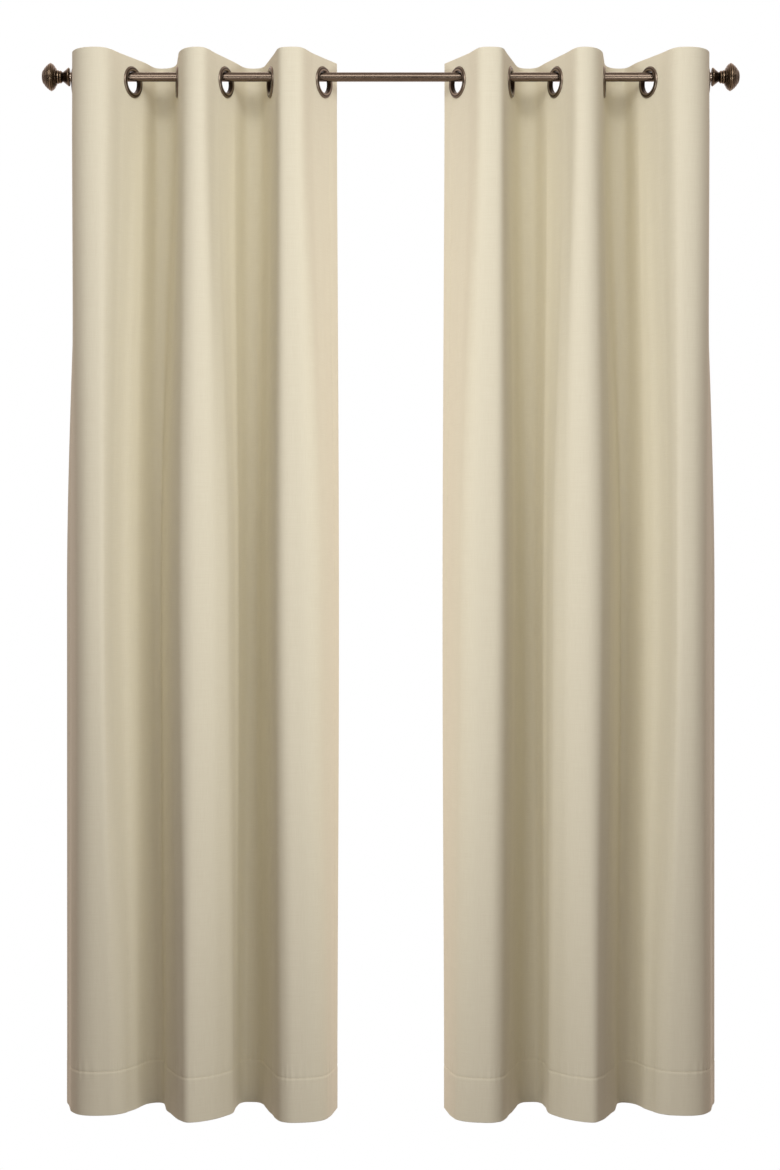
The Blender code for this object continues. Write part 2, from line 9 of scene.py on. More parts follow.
import bmesh
import bpy
import mathutils
import numpy as np
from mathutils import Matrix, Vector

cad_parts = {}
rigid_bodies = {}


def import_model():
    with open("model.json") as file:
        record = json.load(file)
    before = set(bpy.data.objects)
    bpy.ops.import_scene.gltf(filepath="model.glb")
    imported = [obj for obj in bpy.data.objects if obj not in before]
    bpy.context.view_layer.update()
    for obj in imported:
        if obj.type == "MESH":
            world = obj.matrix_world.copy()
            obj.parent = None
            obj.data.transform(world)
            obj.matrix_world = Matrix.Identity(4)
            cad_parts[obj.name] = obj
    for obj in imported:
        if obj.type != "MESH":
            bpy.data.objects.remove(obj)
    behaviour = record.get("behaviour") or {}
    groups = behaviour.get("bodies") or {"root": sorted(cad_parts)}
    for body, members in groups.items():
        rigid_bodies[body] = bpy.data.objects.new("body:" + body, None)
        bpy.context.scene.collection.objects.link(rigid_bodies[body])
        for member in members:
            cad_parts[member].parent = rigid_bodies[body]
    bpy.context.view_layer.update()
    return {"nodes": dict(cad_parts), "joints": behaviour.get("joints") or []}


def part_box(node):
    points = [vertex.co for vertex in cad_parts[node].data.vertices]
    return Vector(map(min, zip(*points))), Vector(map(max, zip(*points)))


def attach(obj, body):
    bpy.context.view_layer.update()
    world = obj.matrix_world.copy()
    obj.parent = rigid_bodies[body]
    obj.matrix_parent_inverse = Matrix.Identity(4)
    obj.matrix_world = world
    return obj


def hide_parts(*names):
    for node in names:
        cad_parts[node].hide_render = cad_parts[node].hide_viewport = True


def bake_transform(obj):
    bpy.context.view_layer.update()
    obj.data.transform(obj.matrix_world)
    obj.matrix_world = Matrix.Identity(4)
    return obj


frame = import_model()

SIDES = (("left", -1), ("right", 1))
MM = 0.001

# ---- places taken from the frame ----
ROD_LOW, ROD_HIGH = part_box("rod_tube")
ROD_RADIUS = (ROD_HIGH.z - ROD_LOW.z) / 2
ROD_Y = (ROD_HIGH.y + ROD_LOW.y) / 2
ROD_END = ROD_HIGH.x
CLOTH_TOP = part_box("left_pleat_1")[1].z
CLOTH_DROP = CLOTH_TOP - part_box("left_pleat_1")[0].z
HINGES = {joint["name"]: joint["pos_m"] for joint in frame["joints"]}
OUTER_EYELET = abs(HINGES["left_curtain_draw"][0])
FOLD_LINES = [OUTER_EYELET - abs(HINGES["left_fold_%d" % fold][0]) for fold in range(1, 6)]
FOLD_HALF = abs(HINGES["left_fold_1"][1] - ROD_Y)
EYELETS = [0.0]
for fold_line in FOLD_LINES:
    EYELETS.append(2 * fold_line - EYELETS[-1])
PLEATS = len(EYELETS)

# ---- the cloth as it was cut ----
CLOTH_WIDTH = 1.016            # 40 inches
SIDE_FLAP = 0.045              # outermost eyelet to the side edge, and the same at the leading edge
EYELET_SPACING = (CLOTH_WIDTH - 2 * SIDE_FLAP) / (PLEATS - 1)
CLOTH_THICKNESS = 0.0022       # face cloth and lining together
BOTTOM_HEM = 0.075
TOP_HEM = 0.100
SIDE_HEM = 0.026
EYELET_THROAT = 0.0183         # inner radius of an eyelet
ROD_CLEARANCE = 0.0010         # from the rod's top up to the eyelet that hangs round it
EYELET_Z = -(EYELET_THROAT - ROD_RADIUS - ROD_CLEARANCE)
EYELET_DROP = CLOTH_TOP - EYELET_Z
EYELET_HOLE = 0.0197           # radius of the hole in the cloth
FACET_HALF = 0.029             # half width of the flat round an eyelet
TOUCHING = 1e-6                # places nearer to each other than this are one place

# ---- how the cloth is sewn and how its surface stands out, heights in mm ----
STITCH_PITCH = 0.0042
STITCH_LENGTH = 0.0030
STITCH_RADIUS = 0.00028
STITCH_RISE, STITCH_SINK = 0.9, 0.55     # of the radius: how a stitch comes out of the cloth
STITCH_ENDS = 0.45             # of the radius: how thick a stitch is at its ends
ROW_START, ROW_END = 0.002, 0.0015       # from a strip's edges to its hem's first and last stitch
SIDE_ROW_START, SIDE_ROW_END = 0.012, 0.004
EYELET_ROOM = 0.026            # side rows break off round an eyelet's rim
HEM_TURN = 0.004               # length over which a hem's extra thickness comes in
RIPPLE_HEIGHT, RIPPLE_START, RIPPLE_GROWTH = 0.30, 0.09, 0.30
# Each ripple: share, waves per metre across times two pi, sway, its pace down, its start, wave's start
RIPPLES = ((0.9, 131, 1.3, 2.3, 0.0, 0.4), (0.7, 83, -0.9, 3.1, 1.0, 2.1), (0.5, 211, 1.7, 1.7, 0.6, 0.0))
CREASE_HEIGHT, CREASE_REACH, CREASE_ROUND = 0.50, 0.010, 0.0015
CREASE_START, CREASE_GROWTH = 0.075, 0.06
CREASE_LOSS, CREASE_LOSS_START, CREASE_LOSS_LENGTH = 0.55, 0.3, 1.2
HEM_STEP, HEM_GROOVE, HEM_GROOVE_WIDTH = 0.25, 0.34, 0.0022
HEM_PUCKER, HEM_PUCKER_REACH, HEM_PUCKER_RISE = 0.30, 0.016, 0.006
SIDE_STEP, SIDE_GROOVE, SIDE_GROOVE_WIDTH = 0.25, 0.20, 0.0016
SIDE_PUCKER, SIDE_PUCKER_REACH = 0.18, 0.010
# Puckers along a seam: fast wave, wander of its phase, slow wave, the slow wave's start
HEM_WAVES = (520, 71, 37, 0.7)
SIDE_WAVES = (410, 57, 23, 0.0)

# ---- how fine the cloth's mesh is ----
MESH_STEP = 0.0025             # between upright lines
EDGE_ROUND = 0.0016            # width of the rounded top and bottom edges
EDGE_BULGE = 0.8               # an outer edge's bulge as a share of half the thickness
SPOKE_POINTS = 5               # from an eyelet's hole out to the border of its flat
SLOPE_STEP = 0.0004            # over which the relief's slope is taken


def srgb(code):
    """A hex colour in sRGB as a linear RGBA value."""
    parts = [int(code[place:place + 2], 16) / 255 for place in (0, 2, 4)]
    return tuple(c / 12.92 if c <= 0.04045 else ((c + 0.055) / 1.055) ** 2.4 for c in parts) + (1.0,)


# ---- how the cloth hangs, in plan ----
# Three plans are blended down the drop: through the eyelets, through the middle of the skirt and
# at the bottom hem. Ground is counted from the outermost eyelet towards the middle of the window.
PLAN_HEIGHTS = (0.05, 0.90, 1.80)      # below the rod
# For each pleat: how far its middle drifts over the ground and towards the wall, in mm, and
# how far it leans off the straight front-to-back line, in degrees.
PLEAT_PLANS = np.array([
    [(0, 0, 1), (0, 0, 28), (0, 0, 8), (0, 0, 24), (0, 0, 14), (0, 0, 29)],
    [(-7, 0, 16), (-13, 0, 31), (-20, 0, 20), (14, 0, 10), (-5, 0, 16), (14, 0, 14)],
    [(-13, 26, 14), (-6, 0, 32), (-12, -14, 23), (14, 0, 3), (-1, -8, 17), (15, -22, 10)]], float)
# For each fold: drift over the ground, share of the full depth, tilt of the cloth before and
# after the crest in degrees, and how square the cloth turns before and after it.
FOLD_PLANS = np.array([
    [(-3, 1, 4, 4, .60, .60), (3, 1, 0, 0, .62, .60), (-2, 1, 0, 0, .52, .60), (4, 1, 0, 0, .62, .66),
     (-3, 1, 0, 0, .88, .62)],
    [(0, .9, 6, 6, .70, .55), (-1, .96, 0, 0, .55, .60), (-5, 1, 8, 8, .55, .62), (2, .96, 0, 0, .62, .60),
     (-4, 1, 0, 0, .80, .75)],
    [(2, .38, 8, 8, .75, .60), (-4, .82, 4, 4, .60, .80), (-14, 1.0, 8, 8, .36, .46),
     (-5, .89, 0, 0, .75, .80), (-4, 1.02, 2, 2, .66, .70)]], float)
PULL_OUT = np.array([                 # how long each pleat keeps its lean, before and after its middle
    [(.62, .62), (.62, .62), (.62, .66), (.62, .62), (.62, .85), (.62, .62)],
    [(.62, .62), (.62, .62), (.62, .62), (.55, .62), (.62, .75), (.62, .62)],
    [(.62, .62), (.62, .50), (.55, .60), (.25, .60), (.62, .62), (.62, .62)]])
FLATS = np.array([FACET_HALF, 0.010, 0.008])   # half of a pleat's straight stretch in each plan


def ease(amount):
    """Smooth step from 0 to 1, three minus twice the amount times its square."""
    held = np.clip(amount, 0.0, 1.0)
    return held * held * (3 - 2 * held)


def bump(distance, width):
    """Bell curve of a distance."""
    return np.exp(-(distance / width) ** 2)


def plan_weights(below):
    """Shares of the three plans at a height: two smooth steps, one after the other."""
    first = ease((below - PLAN_HEIGHTS[0]) / (PLAN_HEIGHTS[1] - PLAN_HEIGHTS[0]))
    second = ease((below - PLAN_HEIGHTS[1]) / (PLAN_HEIGHTS[2] - PLAN_HEIGHTS[1]))
    return np.stack([1 - first, first * (1 - second), first * second])


def mixed(plans, weights, which):
    """Plan values of one pleat or fold for each point, mixed by the three weights."""
    return np.einsum("pn,pn->n", weights, plans[:, which].reshape(3, -1))


def plan_point(across, down):
    """Where the cloth's middle layer is in plan, as ground and depth behind the rod.

    Each pleat has a straight stretch of a given half length about its middle. From its end to the
    fold a cubic Bezier curve leaves along the pleat's lean and arrives along the crest's tilt.
    """
    weights = plan_weights(down - CLOTH_TOP)
    pleat = np.clip(np.rint((across - SIDE_FLAP) / EYELET_SPACING), 0, PLEATS - 1).astype(int)
    offset = across - SIDE_FLAP - pleat * EYELET_SPACING
    ahead = offset >= 0
    sense = np.where(ahead, 1.0, -1.0)
    fold = np.clip(np.where(ahead, pleat, pleat - 1), 0, PLEATS - 2)
    on_flap = (ahead & (pleat == PLEATS - 1)) | (~ahead & (pleat == 0))

    lean = np.radians(mixed(PLEAT_PLANS[:, :, 2], weights, pleat))
    towards = np.where(pleat % 2 == 0, -1.0, 1.0)
    direction = np.stack([np.sin(lean), towards * np.cos(lean)])
    middle = np.stack([np.array(EYELETS)[pleat] + MM * mixed(PLEAT_PLANS[:, :, 0], weights, pleat),
                       MM * mixed(PLEAT_PLANS[:, :, 1], weights, pleat)])
    flat = weights.T @ FLATS
    straight = middle + offset * direction

    fold_side = np.where(fold % 2 == 0, -1.0, 1.0)
    crest = np.stack([np.array(FOLD_LINES)[fold] + MM * mixed(FOLD_PLANS[:, :, 0], weights, fold),
                      fold_side * FOLD_HALF * mixed(FOLD_PLANS[:, :, 1], weights, fold)])
    tilt = np.radians(np.where(ahead, mixed(FOLD_PLANS[:, :, 2], weights, fold),
                               mixed(FOLD_PLANS[:, :, 3], weights, fold)))
    tangent = np.stack([np.cos(tilt), np.sin(tilt)])
    square = np.where(ahead, mixed(FOLD_PLANS[:, :, 4], weights, fold),
                      mixed(FOLD_PLANS[:, :, 5], weights, fold))
    pull = np.where(ahead, mixed(PULL_OUT[:, :, 1], weights, pleat),
                    mixed(PULL_OUT[:, :, 0], weights, pleat))

    start = middle + sense * flat * direction
    leave = start + sense * direction * pull * np.abs(crest[1] - start[1])
    arrive = crest - sense * tangent * square * np.abs(crest[0] - start[0])
    t = np.clip((np.abs(offset) - flat) / (EYELET_SPACING / 2 - flat), 0, 1)
    curve = ((1 - t) ** 3 * start + 3 * (1 - t) ** 2 * t * leave
             + 3 * (1 - t) * t ** 2 * arrive + t ** 3 * crest)
    return np.where((np.abs(offset) <= flat) | on_flap, straight, curve)


def puckers(along, waves):
    """Uneven puckers along a seam: the sine of a wandering fast wave times the sine of a slow one."""
    fast, wander, slow, start = waves
    return np.sin(along * fast + 2 * np.sin(along * wander)) * np.sin(along * slow + start)


def relief(across, down):
    """How far the cloth's face stands out from its plain hang.

    A sum of soft upright ripples that grow below the heading, fine creases that run down from the
    edges of the eyelets' flats, the doubled hems with the dent of their stitching, and puckers
    along the stitching.
    """
    below_facet = ease((down - RIPPLE_START) / RIPPLE_GROWTH)
    ripple = sum(share * np.sin(across * waves + sway * np.sin(down * pace + sway_start) + start)
                 for share, waves, sway, pace, sway_start, start in RIPPLES)
    height = RIPPLE_HEIGHT * ripple * below_facet

    pleat = np.clip(np.rint((across - SIDE_FLAP) / EYELET_SPACING), 0, PLEATS - 1)
    offset = across - SIDE_FLAP - pleat * EYELET_SPACING
    fade = ease((down - CREASE_START) / CREASE_GROWTH)
    fade = fade * (1 - CREASE_LOSS * ease((down - CREASE_LOSS_START) / CREASE_LOSS_LENGTH))
    crease = np.exp(-np.sqrt((np.abs(offset) - FACET_HALF) ** 2 + CREASE_ROUND ** 2) / CREASE_REACH)
    height = height + CREASE_HEIGHT * crease * fade

    from_hem = down - (CLOTH_DROP - BOTTOM_HEM)
    height = height + HEM_STEP * ease(from_hem / HEM_TURN)
    height = height - HEM_GROOVE * bump(from_hem, HEM_GROOVE_WIDTH)
    height = height + HEM_PUCKER * puckers(across, HEM_WAVES) * bump(from_hem + HEM_PUCKER_RISE,
                                                                     HEM_PUCKER_REACH)
    from_side = np.minimum(across, CLOTH_WIDTH - across) - SIDE_HEM
    height = height + SIDE_STEP * (1 - ease((from_side + HEM_TURN / 2) / HEM_TURN))
    height = height - SIDE_GROOVE * bump(from_side, SIDE_GROOVE_WIDTH)
    height = height + (SIDE_PUCKER * puckers(down, SIDE_WAVES) * below_facet
                       * bump(from_side, SIDE_PUCKER_REACH))
    return MM * height


def cloth_face(sign, across, down):
    """World points on the cloth's face and its outward unit directions.

    The plan point is set at its height, and the relief moves it along the plain cloth's normal.
    The normal is the cross product of the two cloth directions, turned by the relief's slopes.
    """
    step = SLOPE_STEP

    def place(a, d):
        ground, depth = plan_point(a, d)
        return np.stack([-(OUTER_EYELET - ground), ROD_Y + depth, CLOTH_TOP - d], axis=1)

    held = np.clip(across, step, CLOTH_WIDTH - step)
    along = place(held + step, down) - place(held - step, down)
    along /= np.linalg.norm(along, axis=1, keepdims=True)
    drop = place(across, down + step) - place(across, down - step)
    drop /= np.linalg.norm(drop, axis=1, keepdims=True)
    normal = np.cross(drop, along)
    normal /= np.linalg.norm(normal, axis=1, keepdims=True)
    rise = relief(across, down)
    slope_across = (relief(across + step, down) - relief(across - step, down)) / (2 * step)
    slope_down = (relief(across, down + step) - relief(across, down - step)) / (2 * step)
    points = place(across, down) + rise[:, None] * normal
    normal = normal - slope_across[:, None] * along - slope_down[:, None] * drop
    normal /= np.linalg.norm(normal, axis=1, keepdims=True)
    if sign > 0:
        points, normal, along, drop = (v * (-1, 1, 1) for v in (points, normal, along, drop))
    return points, normal, along, drop


# ---- meshes from arrays ----

def make_piece(name, points, faces, materials, face_materials=None, uvs=None, normals=None, sharp=None):
    """A mesh object from arrays. Faces are arrays of corner indices, one array for each corner count."""
    faces = [np.asarray(f, int) for f in faces if len(f)]
    corners = np.concatenate([f.ravel() for f in faces])
    counts = np.concatenate([np.full(len(f), f.shape[1]) for f in faces])
    starts = np.concatenate([[0], np.cumsum(counts)[:-1]])
    mesh = bpy.data.meshes.new(name)
    mesh.vertices.add(len(points))
    mesh.vertices.foreach_set("co", np.asarray(points, np.float32).ravel())
    mesh.loops.add(len(corners))
    mesh.loops.foreach_set("vertex_index", corners.astype(np.int32))
    mesh.polygons.add(len(counts))
    mesh.polygons.foreach_set("loop_start", starts.astype(np.int32))
    for material in materials:
        mesh.materials.append(material)
    if face_materials is not None:
        mesh.polygons.foreach_set("material_index", np.asarray(face_materials, np.int32))
    mesh.update(calc_edges=True)
    mesh.validate()
    if uvs is not None:
        layer = mesh.uv_layers.new(name="cloth_metres")
        layer.data.foreach_set("uv", np.asarray(uvs, np.float32)[corners].ravel())
    mesh.shade_smooth()
    if sharp is not None:
        mesh.set_sharp_from_angle(angle=math.radians(sharp))
    if normals is not None:
        mesh.normals_split_custom_set(normals.tolist())
    piece = bpy.data.objects.new(name, mesh)
    bpy.context.scene.collection.objects.link(piece)
    return piece


def grid_faces(rows, columns, wrap_rows=False, wrap_columns=False, start=0):
    """Quads of a grid of points kept row by row; either way round may close on itself."""
    r = np.arange(rows if wrap_rows else rows - 1)
    c = np.arange(columns if wrap_columns else columns - 1)
    r, c = np.meshgrid(r, c, indexing="ij")
    r_next, c_next = (r + 1) % rows, (c + 1) % columns
    quads = np.stack([r * columns + c, r * columns + c_next,
                      r_next * columns + c_next, r_next * columns + c], -1)
    return quads.reshape(-1, 4) + start


# ---- the two curtains ----

def across_lines(first, last):
    """Upright mesh lines of one piece, from one cloth place to another, fine beside the eyelets."""
    marks = [first]
    for eyelet in range(PLEATS):
        centre = SIDE_FLAP + eyelet * EYELET_SPACING
        marks += [centre - FACET_HALF, centre, centre + FACET_HALF]
    marks += [SIDE_HEM, CLOTH_WIDTH - SIDE_HEM, last]
    marks = sorted(m for m in set(round(m, 6) for m in marks) if first - TOUCHING <= m <= last + TOUCHING)
    lines = [np.linspace(a, b, max(2, int(round((b - a) / MESH_STEP))) + 1)[:-1]
             for a, b in zip(marks, marks[1:])]
    return np.concatenate(lines + [[last]])


def down_lines():
    """Level mesh lines: close together at the edges, the eyelets and the hem's stitching.

    Each stretch runs from its own start to the next one's, in a given count of steps.
    """
    hem_line = CLOTH_DROP - BOTTOM_HEM
    starts = [(0, 2), (EDGE_ROUND, 4), (EYELET_DROP - FACET_HALF, 20), (EYELET_DROP + FACET_HALF, 18),
              (TOP_HEM + 0.05, 150), (hem_line - 0.03, 8), (hem_line - 0.006, 12), (hem_line + 0.008, 12),
              (CLOTH_DROP - EDGE_ROUND, 2), (CLOTH_DROP, 0)]
    stretches = [np.linspace(a, b, steps + 1)[:-1] for (a, steps), (b, _) in zip(starts, starts[1:])]
    return np.concatenate(stretches + [[CLOTH_DROP]])


def cloth_net(first, last):
    """Flat net of one piece in cloth coordinates, with the eyelet holes left open.

    A level and upright grid, less the squares round the eyelets. Each half square is filled by a
    net whose spokes run from the hole's circle to the square's own border points.
    """
    lines_a, lines_d = across_lines(first, last), down_lines()
    grid_a, grid_d = np.meshgrid(lines_a, lines_d)
    points = [np.stack([grid_a.ravel(), grid_d.ravel()], 1)]
    quads = grid_faces(len(lines_d), len(lines_a))
    centre_a = points[0][quads, 0].mean(1)
    centre_d = points[0][quads, 1].mean(1)
    beside = np.abs((centre_a - SIDE_FLAP + EYELET_SPACING / 2) % EYELET_SPACING - EYELET_SPACING / 2)
    in_square = (beside < FACET_HALF) & (np.abs(centre_d - EYELET_DROP) < FACET_HALF)
    quads = [quads[~in_square]]
    levels_d = lines_d[np.abs(lines_d - EYELET_DROP) < FACET_HALF + TOUCHING]
    for eyelet in range(PLEATS):
        centre = SIDE_FLAP + eyelet * EYELET_SPACING
        for hand in (-1, 1):
            ahead = hand * (lines_a - centre)
            reach = lines_a[(ahead > -TOUCHING) & (ahead < FACET_HALF + TOUCHING)]
            if len(reach) < 3:
                continue
            reach = reach[::hand]
            border = np.concatenate([
                np.stack([reach, np.full(len(reach), levels_d[0])], 1),
                np.stack([np.full(len(levels_d) - 2, reach[-1]), levels_d[1:-1]], 1),
                np.stack([reach[::-1], np.full(len(reach), levels_d[-1])], 1)])
            spoke = border - (centre, EYELET_DROP)
            hole = (centre, EYELET_DROP) + spoke * EYELET_HOLE / np.linalg.norm(spoke, axis=1, keepdims=True)
            share = np.linspace(0, 1, SPOKE_POINTS)[:, None, None]
            fan = (hole + (border - hole) * share).reshape(-1, 2)
            cells = grid_faces(SPOKE_POINTS, len(border), start=sum(len(p) for p in points))
            points.append(fan)
            quads.append(cells if hand < 0 else cells[:, ::-1])
    points, quads = np.concatenate(points), np.concatenate(quads)
    _, kept, where = np.unique(np.round(points, 6), axis=0, return_index=True, return_inverse=True)
    quads = where.ravel()[quads]
    used, quads = np.unique(quads, return_inverse=True)
    return points[kept][used], quads.reshape(-1, 4)


def open_edges(quads):
    """Directed edges that only one quad has, in the order in which the quad runs."""
    edges = np.concatenate([quads[:, [0, 1]], quads[:, [1, 2]], quads[:, [2, 3]], quads[:, [3, 0]]])
    key = edges[:, 0] * (quads.max() + 1) + edges[:, 1]
    back = edges[:, 1] * (quads.max() + 1) + edges[:, 0]
    return edges[~np.isin(key, back)]


def stitches(sign, across, down, downward):
    """Sewn stitches: short tubes that start in the cloth, rise over it and go back in.

    The rise along a stitch is a cosine of its length, and the tube thins towards both ends. They
    run down the cloth, or across it.
    """
    ring, spots = 6, 5
    share = np.linspace(-0.5, 0.5, spots)
    hump = np.cos(share * math.pi)
    a = across[:, None] + share * STITCH_LENGTH * (not downward)
    d = down[:, None] + share * STITCH_LENGTH * downward
    points, normal, along, drop = cloth_face(sign, a.ravel(), d.ravel())
    side = along if downward else -drop
    rise = np.tile(STITCH_RISE * hump - STITCH_SINK, len(across)) * STITCH_RADIUS + CLOTH_THICKNESS / 2
    thick = np.tile(STITCH_RADIUS * (STITCH_ENDS + (1 - STITCH_ENDS) * hump), len(across))[:, None, None]
    angle = (np.arange(ring) * 2 * math.pi / ring)[:, None]
    tube = (points[:, None] + normal[:, None] * (rise[:, None, None] + thick * np.sin(angle))
            + side[:, None] * thick * np.cos(angle))
    first_corners = np.arange(len(across))[:, None, None] * spots * ring
    many = (grid_faces(spots, ring, wrap_columns=True)[None] + first_corners).reshape(-1, 4)
    caps = np.stack([np.arange(ring)[::-1], np.arange(ring) + (spots - 1) * ring])
    caps = (caps[None] + first_corners).reshape(-1, ring)
    uvs = np.repeat(np.stack([a.ravel(), d.ravel()], 1), ring, axis=0)
    if sign > 0:
        many, caps = many[:, ::-1], caps[:, ::-1]
    return tube.reshape(-1, 3), many, caps, uvs


def sew(sign, first, last, start):
    """The stitches of one strip, with corner numbers from start: points, quads, end caps and places."""
    hem_line = CLOTH_DROP - BOTTOM_HEM
    spots = np.arange(first + ROW_START, last - ROW_END, STITCH_PITCH)
    rows = [stitches(sign, spots, np.full(len(spots), hem_line), False)]
    for edge in (SIDE_HEM, CLOTH_WIDTH - SIDE_HEM):
        if first < edge < last:
            levels = np.arange(SIDE_ROW_START, hem_line - SIDE_ROW_END, STITCH_PITCH)
            levels = levels[np.abs(levels - EYELET_DROP) > EYELET_ROOM]
            rows.append(stitches(sign, np.full(len(levels), edge), levels, True))
    starts = start + np.cumsum([0] + [len(row[0]) for row in rows[:-1]])
    return (np.concatenate([row[0] for row in rows]),
            np.concatenate([row[1] + begin for row, begin in zip(rows, starts)]),
            np.concatenate([row[2] + begin for row, begin in zip(rows, starts)]),
            np.concatenate([row[3] for row in rows]))


def cloth_shell(sign, net, quads):
    """A closed shell over a flat net: points, quads, their cloths, places and corner normals.

    Face and lining stand half the thickness off the middle layer, along its normal. An outer edge
    is a turned fold of cloth, so it bulges a little; a cut between two strips doesn't.
    """
    face, normal, along, drop = cloth_face(sign, net[:, 0], net[:, 1])
    half = CLOTH_THICKNESS / 2
    count = len(net)
    outward = ((net[:, 1] > CLOTH_DROP - TOUCHING)[:, None] * drop - (net[:, 1] < TOUCHING)[:, None] * drop
               + (net[:, 0] > CLOTH_WIDTH - TOUCHING)[:, None] * along
               - (net[:, 0] < TOUCHING)[:, None] * along)
    points = np.concatenate([face + half * normal, face - half * normal, face + EDGE_BULGE * half * outward])
    a, b = open_edges(quads).T
    rim = np.concatenate([np.stack([b, a, a + 2 * count, b + 2 * count], 1),
                          np.stack([b + 2 * count, a + 2 * count, a + count, b + count], 1)])
    front, back = quads, quads[:, ::-1]
    if sign < 0:
        front, back, rim = back, front, rim[:, ::-1]
    used, shell = np.unique(np.concatenate([front, back + count, rim]), return_inverse=True)
    shell = shell.reshape(-1, 4)
    points = points[used]
    cloths = np.concatenate([np.zeros(len(quads)), np.ones(len(quads)), np.zeros(len(rim))])

    smooth = np.concatenate([normal, -normal, outward])[used]
    corner_normals = smooth[shell]
    plain = np.cross(points[shell[:, 1]] - points[shell[:, 0]], points[shell[:, 2]] - points[shell[:, 1]])
    plain /= np.maximum(np.linalg.norm(plain, axis=1, keepdims=True), 1e-12)
    on_rim = np.arange(len(shell)) >= 2 * len(quads)
    cut = on_rim & (np.linalg.norm(corner_normals, axis=2).min(1) < 0.5)
    corner_normals[cut] = plain[cut][:, None]
    return points, shell, cloths, np.tile(net, (3, 1))[used], corner_normals.reshape(-1, 3)


def build_cloth_piece(side, sign, number, materials):
    """One strip of the curtain between two eyelet columns: a closed shell of face cloth and lining."""
    first = 0.0 if number == 0 else SIDE_FLAP + number * EYELET_SPACING
    last = CLOTH_WIDTH if number == PLEATS - 2 else SIDE_FLAP + (number + 1) * EYELET_SPACING
    points, shell, cloths, places, normals = cloth_shell(sign, *cloth_net(first, last))
    tubes, sides, caps, tube_places = sew(sign, first, last, len(points))
    thread = np.full(len(sides) + len(caps), materials.index(THREAD))
    unset = np.zeros((sides.size + caps.size, 3))
    return make_piece("%s_cloth_%d" % (side, number + 1), np.concatenate([points, tubes]),
                      [np.concatenate([shell, sides]), caps], materials, np.concatenate([cloths, thread]),
                      np.concatenate([places, tube_places]), np.concatenate([normals, unset]))


def build_curtain(side, sign, materials):
    """Five strips of cloth, each bending across one fold."""
    for number in range(PLEATS - 1):
        strip = build_cloth_piece(side, sign, number, materials)
        pleats = ["%s_pleat_%d" % (side, number + 1), "%s_pleat_%d" % (side, number + 2)]
        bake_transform(strip)
        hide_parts(*pleats[:2 if number == PLEATS - 2 else 1])


# ---- turned metal ----

RIDGE_REACH = 0.0018           # width of the bell curve that the course is averaged with
RIDGE_STEP = 0.0010            # the longest step that counts in full
RIDGE_HEIGHT = 0.0006          # difference that takes a point from wholly sunk, in full painted groove shade, to wholly raised and rubbed
KNURL_DEPTH = 0.035            # share of the radius


def arc(centre_radius, centre_height, radius, start, end, steps):
    """Points on an arc of an outline, angles in degrees from straight out."""
    angle = np.radians(np.linspace(start, end, steps + 1))
    return np.stack([centre_radius + radius * np.cos(angle), centre_height + radius * np.sin(angle)], 1)


def eased_outline(points, steps=6):
    """Catmull-Rom curve through outline points: each stretch is a cubic with shared end slopes."""
    p = np.asarray(points, float)
    padded = np.concatenate([2 * p[:1] - p[1:2], p, 2 * p[-1:] - p[-2:-1]])
    t = np.linspace(0, 1, steps + 1)[:-1, None, None]
    a, b, c, d = padded[:-3], padded[1:-2], padded[2:-1], padded[3:]
    curve = 0.5 * (2 * b + (c - a) * t + (2 * a - 5 * b + 4 * c - d) * t ** 2
                   + (3 * b - a - 3 * c + d) * t ** 3)
    return np.concatenate([curve.transpose(1, 0, 2).reshape(-1, 2), p[-1:]])


def ridges(outline, closed):
    """How far each outline point stands out of the outline's average course, from 0 to 1."""
    steps = np.linalg.norm(np.diff(outline, axis=0, append=outline[:1]), axis=1)
    along = np.concatenate([[0], np.cumsum(steps)[:-1]])
    gap = np.abs(along[:, None] - along[None])
    if closed:
        gap = np.minimum(gap, steps.sum() - gap)
    share = bump(gap, RIDGE_REACH) * np.minimum(steps, RIDGE_STEP)
    average = (share / share.sum(1, keepdims=True)) @ outline
    return np.clip(0.5 + (outline[:, 0] - average[:, 0]) / RIDGE_HEIGHT, 0, 1)


